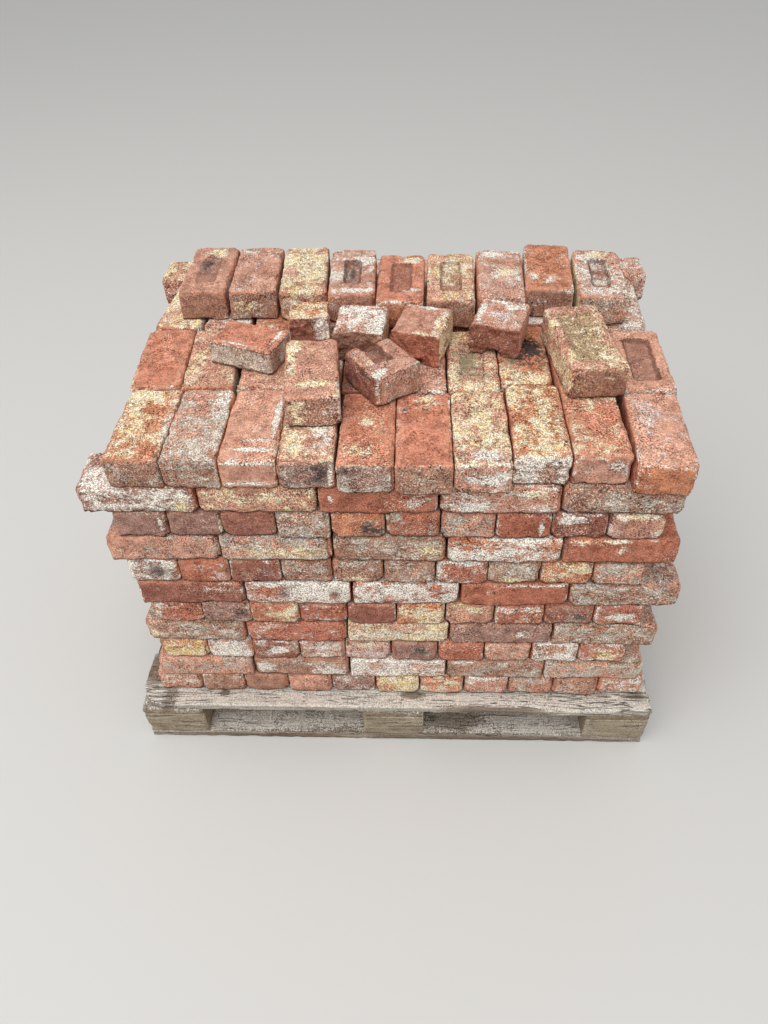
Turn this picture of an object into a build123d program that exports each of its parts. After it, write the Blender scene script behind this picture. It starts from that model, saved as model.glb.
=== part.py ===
from build123d import *
import os
from random import Random

# A wooden four-way pallet loaded with dry-stacked reclaimed bricks, with loose bricks and
# broken pieces left on top. Millimetres. The origin is the centre of the pallet's base, on
# the ground: X runs along the pallet, Y from its front to its back, Z up.

# Pallet
pallet_length = 1200.0
pallet_depth = 800.0
board_thickness = 22.0
wide_board = 145.0
narrow_board = 100.0
block_length = 145.0
block_height = 78.0
board_arris = 2.0

# Brick, as worn
brick_length = 216.0
brick_width = 100.0
brick_height = 65.6
brick_arris = 5.0
large_length = 230.0    # a brick of a larger make, lying loose on top
large_width = 107.0
small_width = 90.0      # and one of a smaller make
small_height = 53.0
short_length = 194.0    # a brick worn short
long_bat = 138.0        # broken bricks, by what is left of their length
half_bat = 120.0
small_half_bat = 112.0
slanted_bat = 116.0
quarter_bat = 79.0
quarter_width = 80.0    # the quarter is broken down one side too

# Hollow pressed into one face of some bricks
frog_length = 138.0
frog_width = 42.0
frog_depth = 12.0
frog_draft = 35.0

# Stack
full_courses = 10
rows_deep = 3           # rows laid across, beside one row laid along
side_gap = 3.1
end_gap = 5.0
row_gap = 2.5
back_margin = 1.5       # from the back row to the pallet's edge
end_margin = 30.0       # from a full row's end to the pallet's edge, at least
core_clearance = 3.0
row_wander = 9.0        # how far the end bricks of the inner rows stray outwards
front_wander = 5.0      # how far a brick in the front row stands out
header_turn = 0.3       # degrees either way
stretcher_turn = 0.8

pallet_height = 3 * board_thickness + block_height
header_pitch = brick_width + side_gap
stretcher_pitch = brick_length + end_gap
row_pitch = brick_length + row_gap
stack_back = pallet_depth / 2 - back_margin
stack_front = stack_back - rows_deep * row_pitch - brick_width
usable_length = pallet_length - 2 * end_margin
header_count = int(usable_length // header_pitch)
stretcher_count = int(usable_length // stretcher_pitch)

# How far the middle of each course lies to the right of the pallet's, from the bottom up
course_shifts = (11, 12, -2, 14, 11, 31, -12, 0, -6, -18)


def worn(length, width, height, arris):
    # A block standing on z = 0 with every edge rubbed off
    block = Box(length, width, height, align=(Align.CENTER, Align.CENTER, Align.MIN))
    return chamfer(block.edges(), arris)


def brick(length=brick_length, width=brick_width, height=brick_height):
    return worn(length, width, height, brick_arris)


plain_brick = brick()


def frogged(body, length=frog_length, width=frog_width, depth=frog_depth, height=brick_height):
    # The brick with a tapered hollow pressed into its upper face
    mouth = Pos(0, 0, height) * Rectangle(length, width)
    return body - extrude(mouth, amount=depth, dir=(0, 0, -1), taper=frog_draft)


def bat(body, length, breaks, lean=0.0, height=brick_height):
    # The part of a brick left by a ragged break at its +X end, with its middle at the origin.
    # The breaks say how far the fracture stands past the length, from the -Y side to the +Y
    # side. The fracture leans by an angle, which takes more off the top where it is positive.
    side = 0.7 * brick_width
    steps = len(breaks) - 1
    line = [(length / 2 + out, side * (2 * i / steps - 1)) for i, out in enumerate(breaks)]
    outline = [(-brick_length, -side), *line, (-brick_length, side)]
    kept = extrude(make_face(Polyline(*outline, close=True)), amount=2 * height)
    tilt = Pos(length / 2, 0, 0) * Rot(0, -lean, 0) * Pos(-length / 2, 0, 0)
    return Pos((brick_length - length) / 2, 0, 0) * body & tilt * Pos(0, 0, -height / 2) * kept


def upside_down(body, height=brick_height):
    return Pos(0, 0, height) * Rot(180, 0, 0) * body


def along(x, y, z, turn=0.0, body=plain_brick):
    # A brick laid along the pallet, with its long side to the front
    return Pos(x, y, z) * Rot(0, 0, turn) * body


def across(x, y, z, turn=0.0, body=plain_brick):
    # A brick laid across the pallet, with its end to the front
    return along(x, y, z, 90 + turn, body)


def save(node, *solids):
    shape = solids[0] if len(solids) == 1 else Compound(children=list(solids))
    export_step(shape, os.path.join("parts", node + ".step"))


def row_of_headers(count, shift, y, z, chance):
    middle = y + brick_length / 2
    first = shift - (count - 1) * header_pitch / 2
    return [across(first + i * header_pitch, middle - chance.uniform(0, front_wander), z,
                   chance.uniform(-header_turn, header_turn))
            for i in range(count)]


def row_of_stretchers(count, shift, y, z, chance, out):
    middle = y + brick_width / 2
    first = shift - (count - 1) * stretcher_pitch / 2
    return [along(first + i * stretcher_pitch, middle - out * chance.uniform(0.4, 1), z,
                  stretcher_turn * out / front_wander * chance.uniform(-1, 1))
            for i in range(count)]


def row_ends(count, y, z, chance):
    # The two outer bricks of an inner row of headers
    reach = (count - 1) * header_pitch / 2
    middle = y + brick_length / 2
    return [across(side * (reach + chance.uniform(0, row_wander)), middle, z,
                   chance.uniform(-header_turn, header_turn))
            for side in (-1, 1)]


def headers_in(course):
    # The bottom course is full. The rest are a brick short
    return header_count if course == 1 else header_count - 1


def is_header_course(course):
    return course % 2 == 1


def course_base(course):
    return pallet_height + (course - 1) * brick_height


def outer_bricks(course):
    # The bricks of one course that show on its four sides
    chance = Random(course)
    z = course_base(course)
    shift = course_shifts[(course - 1) % len(course_shifts)]
    count = headers_in(course)
    if is_header_course(course):
        bricks = row_of_headers(count, shift, stack_front, z, chance)
        inner_rows = [stack_front + row * row_pitch for row in range(1, rows_deep)]
        back = stack_back - brick_width
        bricks += row_of_stretchers(stretcher_count, -shift / 2, back, z, chance, 0)
    else:
        bricks = row_of_stretchers(stretcher_count, shift, stack_front, z, chance, front_wander)
        first_inner = stack_front + brick_width + row_gap
        inner_rows = [first_inner + row * row_pitch for row in range(rows_deep - 1)]
        back = stack_back - brick_length
        first = -shift / 2 - (count - 1) * header_pitch / 2
        bricks += [across(first + i * header_pitch, back + brick_length / 2, z) for i in range(count)]
    for y in inner_rows:
        bricks += row_ends(count, y, z, chance)
    return bricks


def core_slab(course):
    # The hidden inner bricks of one course, as a plain slab
    half = (headers_in(course) / 2 - 1) * header_pitch - core_clearance
    front_depth, back_depth = brick_length, brick_width
    if not is_header_course(course):
        front_depth, back_depth = back_depth, front_depth
    front = stack_front + front_depth + core_clearance
    back = stack_back - back_depth - core_clearance
    slab = Box(2 * half, back - front, brick_height, align=(Align.CENTER, Align.MIN, Align.MIN))
    return Pos(0, front, course_base(course)) * slab


def make_pallet():
    skid_base, block_base = 0.0, board_thickness
    stringer_base = block_base + block_height
    deck_base = stringer_base + board_thickness
    row_y = {
        "front": -(pallet_depth - narrow_board) / 2,
        "middle": 0.0,
        "back": (pallet_depth - narrow_board) / 2,
    }
    row_depth = {"front": narrow_board, "middle": wide_board, "back": narrow_board}
    end_x = (pallet_length - block_length) / 2
    column_x = {"left": -end_x, "centre": 0.0, "right": end_x}

    for row, y in row_y.items():
        skid = worn(pallet_length, row_depth[row], board_thickness, board_arris)
        save("skid_" + row, Pos(0, y, skid_base) * skid)
        for column, x in column_x.items():
            block = worn(block_length, row_depth[row], block_height, board_arris)
            save("block_" + row + "_" + column, Pos(x, y, block_base) * block)
    for column, x in column_x.items():
        stringer = worn(block_length, pallet_depth, board_thickness, board_arris)
        save("stringer_" + column, Pos(x, 0, stringer_base) * stringer)

    widths = (wide_board, narrow_board, wide_board, narrow_board, wide_board)
    gap = (pallet_depth - sum(widths)) / (len(widths) - 1)
    y = -pallet_depth / 2
    for number, width in enumerate(widths, start=1):
        board = Pos(0, y + width / 2, deck_base) * worn(pallet_length, width, board_thickness, board_arris)
        save("deck_board_" + str(number), board)
        y += width + gap


def make_stack():
    for course in range(1, full_courses + 1):
        save("course_" + str(course).zfill(2), *outer_bricks(course))
    core = core_slab(1)
    for course in range(2, full_courses + 1):
        core += core_slab(course)
    save("stack_core", core)


# The top course: how far each brick of a row stands out to the front, its turn in degrees,
# and the gaps between the bricks of a row
front_row_out = (8, 8, 9, 9, 22, 24, 19, -4, -4, 24)
front_row_turn = (-0.4, 0.2, 0, 0.2, 0, 0, 0.2, -0.4, 0, -3.4)
front_row_gaps = (1.8, 3.5, 1.8, 5.5, 1.5, 1.5, 4, 3, 9)
middle_row_out = (6, 6, 7, 7, 20, 21, 16, -3.5, -3.5, 18)
middle_row_turn = (3.6, 4.0, 0.6, 0, 0, 0, -0.3, -0.6, 0, -1.5)
middle_row_gaps = (1.8, 14, 2.5, 3, 1.8, 3.5, 2.5, 4, 28)
third_row_out = (1, 1, -1, -2, -2, -2, -2, -2, -2, 2)
third_row_turn = (-3.6, -2.4, -1, 0, 0, 0, 0, 0, -0.6, -2.6)
third_row_gaps = (5.5,) * 9
top_row_middle = 16.0
back_row_gap = 15.0
top_base = pallet_height + full_courses * brick_height
crown_base = top_base + brick_height


def top_row(row, outs, turns, gaps, frogs):
    # One row of headers in the top course, from left to right
    y = stack_front + row * row_pitch + brick_length / 2
    left = top_row_middle - (len(outs) * brick_width + sum(gaps)) / 2
    bricks = []
    for number, (out, turn, gap) in enumerate(zip(outs, turns, (0, *gaps)), start=1):
        x = left + gap + brick_width / 2
        body = frogs.get(number, plain_brick)
        bricks.append(across(x, y - out, top_base, turn, body))
        left = x + brick_width / 2
    return bricks


def make_top_course():
    frogs = {
        7: frogged(plain_brick, length=120, width=50, depth=4),
        10: frogged(plain_brick, length=150, width=54, depth=9),
    }
    save("top_row_front", *top_row(0, front_row_out, front_row_turn, front_row_gaps, {}))
    save("top_row_middle", *top_row(1, middle_row_out, middle_row_turn, middle_row_gaps, frogs))
    save("top_row_third", *top_row(2, third_row_out, third_row_turn, third_row_gaps, {}))
    pitch = brick_length + back_row_gap
    first = top_row_middle - (stretcher_count - 1) * pitch / 2
    y = pallet_depth / 2 - brick_width / 2
    save("top_row_back", *[along(first + i * pitch, y, top_base) for i in range(stretcher_count)])


# The crown, a single row on the back of the top course: how far each brick's middle lies
# behind the third row's, and its turn
crown_back = (30, 29, 27, 15, -16, -11, 3, 31, -1)
crown_turn = (0.3, 1.8, 2.8, 1.6, -1.2, -1.4, -2.2, -4.2, -3.8)
crown_gap = 6.6
crown_middle = 18.0


def make_crown():
    frogs = {
        1: frogged(plain_brick, length=120, width=44, depth=4),
        4: frogged(plain_brick, length=112, width=38, depth=15),
        5: frogged(plain_brick, length=132, width=46, depth=6),
        6: frogged(plain_brick, length=132, width=46, depth=7),
        9: frogged(plain_brick, length=128, width=40, depth=11),
    }
    third_row_y = stack_front + 2 * row_pitch + brick_length / 2
    bricks = []
    for number, (back, turn) in enumerate(zip(crown_back, crown_turn), start=1):
        x = crown_middle + (number - (len(crown_back) + 1) / 2) * (brick_width + crown_gap)
        body = frogs.get(number, plain_brick)
        bricks.append(across(x, third_row_y + back, crown_base, turn, body))
    save("crown_row", *bricks)


def on_top(column, row):
    # A place on the top course, in header pitches from the stack's middle and in row pitches
    # from its front
    return column * header_pitch, stack_front + row * row_pitch, crown_base


def make_loose_pieces():
    frog_brick = frogged(plain_brick)

    # Two thirds of a smaller brick, slewed across the middle row, broken at its left end
    small = brick(width=small_width, height=small_height)
    grey = bat(small, long_bat, (-4, 3, -5, 2, -3), 3, small_height)
    save("bat_grey", along(*on_top(-2.72, 1.435), 159, grey))

    # A worn short brick lying across the two front rows
    save("short_brick", across(*on_top(-1.38, 0.83), 5.4, brick(length=short_length)))

    # A quarter of a brick, broken at its front and down one side
    quarter = bat(plain_brick, quarter_bat, (-6, 2, -5, 3), 5)
    off_side = (quarter_width - brick_width) / 2
    quarter &= Pos(0, off_side, 0) * Box(brick_length, quarter_width, 3 * brick_height)
    save("bat_yellow", across(*on_top(-1.54, 1.785), 185, quarter))

    # Half bricks lying upside down, with the hollow open at the broken end
    halves = {
        "bat_white": (on_top(-0.58, 1.61), 176, half_bat, (6, -5, -9, -5, -1), 5),
        "bat_slanted": (on_top(0.618, 1.605), 165, slanted_bat, (8, -1, 3, -8), -6),
        "bat_upturned": (on_top(2.13, 1.695), 163, small_half_bat, (-4, 3, -3, 5), 3),
    }
    for node, (place, turn, length, breaks, lean) in halves.items():
        save(node, across(*place, turn, upside_down(bat(frog_brick, length, breaks, lean))))

    # A half brick the right way up, its hollow open at the back
    turned = bat(frog_brick, small_half_bat, (1, -7, 2, -5), 2)
    save("bat_turned", across(*on_top(-0.13, 0.985), 35, turned))

    # A whole brick of a larger make, with a broad shallow hollow
    large = frogged(brick(large_length, large_width), large_length - 58, large_width - 41, 7)
    save("mossy_brick", across(*on_top(3.61, 1.305), 6, large))


os.makedirs("parts", exist_ok=True)
make_pallet()
make_stack()
make_top_course()
make_crown()
make_loose_pieces()
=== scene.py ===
import math
import random

import bmesh
import bpy
import numpy as np
from mathutils import Matrix, Vector, noise


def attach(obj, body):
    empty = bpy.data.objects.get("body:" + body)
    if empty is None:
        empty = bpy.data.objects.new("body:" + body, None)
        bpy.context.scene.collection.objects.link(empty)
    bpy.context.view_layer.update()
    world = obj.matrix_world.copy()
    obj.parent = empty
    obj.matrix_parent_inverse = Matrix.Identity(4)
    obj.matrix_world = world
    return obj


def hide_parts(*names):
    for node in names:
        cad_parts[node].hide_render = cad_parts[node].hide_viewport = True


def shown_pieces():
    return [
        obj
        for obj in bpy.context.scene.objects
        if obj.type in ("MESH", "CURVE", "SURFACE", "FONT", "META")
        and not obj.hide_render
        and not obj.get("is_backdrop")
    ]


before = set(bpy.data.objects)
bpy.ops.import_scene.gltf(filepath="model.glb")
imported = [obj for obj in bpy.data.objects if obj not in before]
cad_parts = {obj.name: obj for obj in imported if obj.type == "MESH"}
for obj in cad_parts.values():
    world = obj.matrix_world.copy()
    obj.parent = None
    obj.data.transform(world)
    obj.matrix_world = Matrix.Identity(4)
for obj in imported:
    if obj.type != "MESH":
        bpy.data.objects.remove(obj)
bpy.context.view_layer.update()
mm = 0.001
print("frame loaded,", len(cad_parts), "nodes")


# Colours are written as they look, 0 to 255, and used as linear values

def linear(red, green, blue):
    channels = [value / 255 for value in (red, green, blue)]
    return tuple(c / 12.92 if c < 0.04045 else ((c + 0.055) / 1.055) ** 2.4 for c in channels)


def opaque(colour):
    return (*linear(*colour), 1.0)


# Small helpers that keep the node trees readable

class Feed:  # a node's output, which can stand in a sum like a number
    def __init__(self, tree, socket):
        self.tree, self.socket = tree, socket

    def __add__(self, other):
        return calc("ADD", self, other)

    def __sub__(self, other):
        return calc("SUBTRACT", self, other)

    def __rsub__(self, other):
        return calc("SUBTRACT", other, self)

    def __mul__(self, other):
        return calc("MULTIPLY", self, other)

    def __truediv__(self, other):
        return calc("DIVIDE", self, other)

    def __abs__(self):
        return calc("ABSOLUTE", self)


def plug(socket, value):
    if isinstance(value, Feed):
        value.tree.links.new(value.socket, socket)
    elif socket.type == "VECTOR" and isinstance(value, (int, float)):
        socket.default_value = (value, value, value)
    else:
        socket.default_value = value


def put(tree, kind, feeds=None, **settings):  # adds a node
    node = tree.nodes.new(kind)
    for name, value in settings.items():
        setattr(node, name, value)
    for socket, value in (feeds or {}).items():
        plug(node.inputs[socket], value)
    return node


def take(tree, kind, feeds=None, output=0, **settings):  # adds a node for one of its outputs
    return Feed(tree, put(tree, kind, feeds, **settings).outputs[output])


def calc(operation, *values, **settings):  # Vector Math where a value is a vector or a colour, otherwise Math
    feeds = [value for value in values if isinstance(value, Feed)]
    vectors = any(feed.socket.type in ("VECTOR", "RGBA") for feed in feeds)
    kind = "ShaderNodeVectorMath" if vectors else "ShaderNodeMath"
    output = 1 if operation in ("DOT_PRODUCT", "LENGTH") else 0
    return take(feeds[0].tree, kind, dict(enumerate(values)), output, operation=operation, **settings)


def apart(vector):
    node = put(vector.tree, "ShaderNodeSeparateXYZ", {"Vector": vector})
    return [Feed(vector.tree, socket) for socket in node.outputs]


def together(*values):
    return take(values[0].tree, "ShaderNodeCombineXYZ", dict(enumerate(values)))


def rise(value, start, end, low=0.0, high=1.0):  # a soft step from low to high
    feeds = dict(enumerate((value, start, end, low, high)))
    return take(value.tree, "ShaderNodeMapRange", feeds, interpolation_type="SMOOTHSTEP")


def fbm(vector, seed, scale, detail=4.0, roughness=0.6, output=0, distortion=0.0):
    feeds = {"Vector": vector, "W": seed, "Scale": scale, "Detail": detail,
             "Roughness": roughness, "Distortion": distortion}
    return take(vector.tree, "ShaderNodeTexNoise", feeds, output, noise_dimensions="4D")


def blend(factor, first, second, mode="MIX"):
    tree = next(value.tree for value in (factor, first, second) if isinstance(value, Feed))
    node = put(tree, "ShaderNodeMix", data_type="RGBA", blend_type=mode)
    for identifier, value in (("Factor_Float", factor), ("A_Color", first), ("B_Color", second)):
        plug(next(s for s in node.inputs if s.identifier == identifier), value)
    return Feed(tree, next(s for s in node.outputs if s.identifier == "Result_Color"))


def newGroup(name, inputs, outputs, kind="ShaderNodeTree", outputKind="Float"):
    tree = bpy.data.node_groups.new(name, kind)
    for label, (socketKind, start) in inputs.items():
        socket = tree.interface.new_socket(label, in_out="INPUT", socket_type="NodeSocket" + socketKind)
        if start is not None:
            socket.default_value = start
    for label in outputs:
        tree.interface.new_socket(label, in_out="OUTPUT", socket_type="NodeSocket" + outputKind)
    given = {socket.name: Feed(tree, socket) for socket in tree.nodes.new("NodeGroupInput").outputs}
    return tree, given, tree.nodes.new("NodeGroupOutput").inputs


def useGroup(group, feeds):
    tree = feeds["Vector"].tree
    node = put(tree, "ShaderNodeGroup", feeds, node_tree=group)
    return {socket.name: Feed(tree, socket) for socket in node.outputs}


# Worn blocks: one tree lays a rubbed, chipped block on every point it is given.
# It makes the bricks and the pallet's timber alike, and starts from the settings of the courses.

courseBlocks = {"Cells Long": 24, "Cells Across": 12, "Cells High": 8, "Even Spacing": 0.4, "Arris": 7 * mm,
                "Worn Width": 9 * mm, "Waver": 4.5 * mm, "Waver Scale": 18.0, "Grit": 2.4 * mm,
                "Chip Depth": 8 * mm, "Chip Scale": 40.0, "Seed": 3.0}


def attribute(tree, name, kind="FLOAT"):
    return take(tree, "GeometryNodeInputNamedAttribute", {"Name": name}, "Attribute", data_type=kind)


def storeAttribute(geometry, name, value, kind="FLOAT"):
    feeds = {"Geometry": geometry, "Name": name, "Value": value}
    return take(geometry.tree, "GeometryNodeStoreNamedAttribute", feeds, data_type=kind, domain="POINT")


def moveSurface(geometry, **feeds):
    return take(geometry.tree, "GeometryNodeSetPosition", {"Geometry": geometry, **feeds})


blockForm = {
    "pickSteps": 50.0,              # sets the noise of one block apart from the next
    "radiusScale": 30.0,
    "radiusSwing": (0.6, 1.7),      # the radius of an arris, as shares of Arris
    "hollowCorner": 8 * mm,
    "hollowSlope": 6 * mm,
    "hollowWander": 5 * mm,
    "wanderScale": 70.0,
    "hollowReach": 20 * mm,         # how far outside a hollow its layer reaches, from 1 on the outline
    "deepHollow": 15 * mm,          # a hollow this deep has a depth layer of 1
    "gritScale": 110.0,
    "cornerScale": 14.0,
    "cornerLoss": 2.2,
}


def blockTree(form):
    sizes = {label: ("Int" if isinstance(value, int) else "Float", value)
             for label, value in courseBlocks.items()}
    inputs = {"Points": ("Geometry", None), **sizes, "Material": ("Material", None)}
    tree, given, result = newGroup("wornBlocks", inputs, ("Mesh",), "GeometryNodeTree", "Geometry")

    counts = {f"Vertices {axis}": given[f"Cells {way}"] + 1.0
              for axis, way in zip("XYZ", ("Long", "Across", "High"))}
    block = take(tree, "GeometryNodeMeshCube", {"Size": (2.0, 2.0, 2.0), **counts})
    gridded = storeAttribute(block, "grid", take(tree, "GeometryNodeInputPosition"), "FLOAT_VECTOR")
    placed = take(tree, "GeometryNodeInstanceOnPoints", {"Points": given["Points"], "Instance": gridded})
    loose = take(tree, "GeometryNodeRealizeInstances", {"Geometry": placed})
    grid, size, hollow, middle = (attribute(tree, name, "FLOAT_VECTOR")
                                  for name in ("grid", "size", "hollow", "middle"))
    pick = attribute(tree, "pick") * form["pickSteps"] + given["Seed"]

    # the grid's lines crowd together towards the arrises
    inward = 1.0 - abs(grid)
    eased = 1.0 - (inward * given["Even Spacing"] + inward * inward * (1.0 - given["Even Spacing"]))
    half = size * 0.5
    raw = calc("SIGN", grid) * eased * half

    # how near each place is to an arris, and to a corner
    near = calc("MAXIMUM", 1.0 - (half - abs(raw)) / given["Worn Width"], 0.0)
    x, y, z = apart(near)
    arris = calc("DOT_PRODUCT", near, together(y, z, x))
    corner = x * y * z

    # rounding, by a radius that changes along each arris
    where = middle + raw
    swing = fbm(where, pick, form["radiusScale"], 2.0)
    radius = given["Arris"] * rise(swing, 0.35, 0.65, *form["radiusSwing"])
    core = half - radius
    nearest = calc("MINIMUM", calc("MAXIMUM", raw, core * -1.0), core)
    rounded = nearest + calc("NORMALIZE", raw - nearest) * radius

    # the hollow in the upper face: a rectangle with round corners and sloping sides
    x, y, z = apart(rounded)
    long, wide, deep = apart(hollow)
    overs = [abs(place) - (opening * 0.5 - form["hollowCorner"]) for place, opening in ((x, long), (y, wide))]
    beyond = together(*(calc("MAXIMUM", over, 0.0) for over in overs))
    within = calc("MINIMUM", calc("MAXIMUM", *overs), 0.0)
    wander = (fbm(where, pick, form["wanderScale"], 2.0) - 0.5) * form["hollowWander"]
    distance = calc("LENGTH", beyond) + within - form["hollowCorner"] + wander
    present = calc("GREATER_THAN", deep, 0.0)
    sunk = rise(distance, 0.5 * mm, -form["hollowSlope"]) * present
    height = apart(size)[2]
    drop = sunk * deep * ((z + height * 0.5) / height)
    spin = {"Vector": together(x, y, z - drop), "Angle": attribute(tree, "turn")}
    spun = take(tree, "ShaderNodeVectorRotate", spin, rotation_type="Z_AXIS")
    shape = moveSurface(loose, Position=middle + spun)
    edge = calc("MINIMUM", arris, 1.0)
    outline = calc("MAXIMUM", distance * (-1 / form["hollowReach"]) + 1.0, 0.0)
    shape = storeAttribute(shape, "arris", edge)
    shape = storeAttribute(shape, "hollowed", outline * present)
    shape = storeAttribute(shape, "depth", deep / form["deepHollow"])

    # long waves, grit, and pieces knocked off the arrises and corners
    here = take(tree, "GeometryNodeInputPosition")
    waves = fbm(here, pick, given["Waver Scale"], 2.0, output=1) - 0.5
    grit = fbm(here, pick, form["gritScale"], 2.0, output=1) - 0.5
    shape = moveSurface(shape, Offset=waves * given["Waver"] + grit * given["Grit"])
    edgeLoss = edge * rise(fbm(here, pick, given["Chip Scale"], 3.0, 0.55), 0.52, 0.68)
    cornerPick = fbm(here, pick, form["cornerScale"], 1.0)
    lost = edgeLoss + corner * rise(cornerPick, 0.45, 0.62, 0.0, form["cornerLoss"])
    normal = take(tree, "GeometryNodeInputNormal")
    shape = moveSurface(shape, Offset=normal * (lost * given["Chip Depth"] * -1.0))
    shape = storeAttribute(shape, "chipped", calc("MINIMUM", lost, 1.0))
    whole = take(tree, "GeometryNodeRealizeInstances", {"Geometry": shape})
    smooth = take(tree, "GeometryNodeSetShadeSmooth", {"Geometry": whole})
    done = take(tree, "GeometryNodeSetMaterial", {"Geometry": smooth, "Material": given["Material"]})
    plug(result["Mesh"], done)
    return tree


wornBlocks = blockTree(blockForm)


def addObject(name, data):
    added = bpy.data.objects.new(name, data)
    bpy.context.scene.collection.objects.link(added)
    return added


def bakeModifiers(piece):  # keeps what the modifiers make as a plain mesh
    depsgraph = bpy.context.evaluated_depsgraph_get()
    mesh = bpy.data.meshes.new_from_object(piece.evaluated_get(depsgraph), preserve_all_data_layers=True,
                                           depsgraph=depsgraph)
    piece.modifiers.clear()
    piece.data = mesh
    mesh.name = piece.name


def grow(name, points, tree, values):  # runs a tree on a mesh of points
    piece = addObject(name, points)
    modifier = piece.modifiers.new("grow", "NODES")
    modifier.node_group = tree
    sockets = {item.name: item.identifier for item in tree.interface.items_tree if item.in_out == "INPUT"}
    for label, value in values.items():
        modifier[sockets[label]] = value
    bakeModifiers(piece)
    return piece


# Reading the bricks' places from the solids

def mergedShell(node):
    shell = bmesh.new()
    shell.from_mesh(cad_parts[node].data)
    bmesh.ops.remove_doubles(shell, verts=shell.verts, dist=0.01 * mm)
    return shell


def solidsOf(shell):  # the vertices of each closed solid
    seen, solids = set(), []
    for start in shell.verts:
        if start in seen:
            continue
        seen.add(start)
        solid, waiting = [], [start]
        while waiting:
            vertex = waiting.pop()
            solid.append(vertex)
            for edge in vertex.link_edges:
                other = edge.other_vert(vertex)
                if other not in seen:
                    seen.add(other)
                    waiting.append(other)
        solids.append(solid)
    return solids


reading = {"sharp": 0.3, "level": 0.1 * mm, "slack": 0.001, "rim": 10 * mm}


def turnedAxes(turn):  # lengthways, sideways and up, for a block with this turn
    return np.array([[math.cos(turn), math.sin(turn), 0], [-math.sin(turn), math.cos(turn), 0], [0, 0, 1]])


def readBlock(solid):  # the middle, turn, size and hollow of one block
    edges = dict.fromkeys(edge for vertex in solid for edge in vertex.link_edges
                          if edge.calc_face_angle(0) > reading["sharp"])
    spans = [edge.verts[0].co - edge.verts[1].co for edge in edges]
    level = [span for span in spans if abs(span.z) < reading["level"]]
    along = max(level, key=lambda span: (round(span.length, 5), round(abs(span.x), 5)))   # of equals, along x
    turn = math.atan2(along.y, along.x)
    if turn > math.radians(90) + reading["slack"]:
        turn -= math.pi
    if turn <= -math.radians(90) + reading["slack"]:
        turn += math.pi
    axes = turnedAxes(turn)
    local = np.array([vertex.co for vertex in solid]) @ axes.T
    low, high = local.min(0), local.max(0)
    middle, size = (low + high) / 2, high - low
    inside = (np.abs(local - middle) < size / 2 - reading["rim"])[:, :2].all(1)
    floor = local[inside & (local[:, 2] > low[2] + reading["rim"])]
    hollow = (0.0, 0.0, 0.0)
    if len(floor):
        spanned = floor.max(0) - floor.min(0)
        hollow = (spanned[0], spanned[1], high[2] - floor[:, 2].min())
    return {"middle": middle @ axes, "turn": turn, "size": size, "hollow": hollow}


def readBlocks(node):
    shell = mergedShell(node)
    blocks = [readBlock(solid) for solid in solidsOf(shell)]
    shell.free()
    return blocks


def pointsMesh(name, blocks):
    mesh = bpy.data.meshes.new(name)
    mesh.from_pydata([tuple(block["middle"]) for block in blocks], [], [])
    for label in ("middle", "size", "hollow"):
        layer = mesh.attributes.new(label, "FLOAT_VECTOR", "POINT")
        layer.data.foreach_set("vector", [value for block in blocks for value in block[label]])
    for label in ("turn", "pick"):
        layer = mesh.attributes.new(label, "FLOAT", "POINT")
        layer.data.foreach_set("value", [block[label] for block in blocks])
    layer = mesh.attributes.new("brick", "INT", "POINT")
    layer.data.foreach_set("value", list(range(len(blocks))))
    return mesh


# Finishes of the bricks. A token such as "o y7b" is the clay's letter, then the coat's letter,
# its amount from 0 to 9, and where on the face it gathers: l r f b for the upper face,
# l r u d for the front. The upper face comes first, then the front and the sides, with strokes between.

clays = {
    "r": (188, 116, 92),     # red
    "o": (206, 136, 102),    # orange
    "s": (210, 156, 134),    # salmon
    "b": (176, 132, 112),    # brown
    "p": (168, 128, 116),    # purple brown
    "d": (160, 104, 88),     # dark red
    "c": (214, 142, 115),    # coral
    "q": (228, 172, 147),    # pale salmon
}
coats = {
    "w": (242, 231, 218),    # white lime
    "y": (240, 214, 160),    # yellow mortar
    "g": (192, 174, 156),    # grey cement
    "m": (162, 148, 114),    # moss and lichen
    "o": (236, 200, 124),    # ochre mortar
    "l": (222, 190, 182),    # lilac film
    "k": (88, 78, 76),       # soot
    "x": (54, 45, 41),       # black soot
}
gathers = {"l": (-1, 0), "r": (1, 0), "f": (0, -1), "b": (0, 1), "u": (0, 1), "d": (0, -1)}
plainPicks = ("r w2", "r w3", "o w2", "o y3", "s w3", "s w5", "b w2", "o y5", "p w2", "r y4", "b g4", "r g5",
              "s y4", "o w6", "r w1", "r w1", "o w1", "s g5", "o y7", "b g3")

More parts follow.
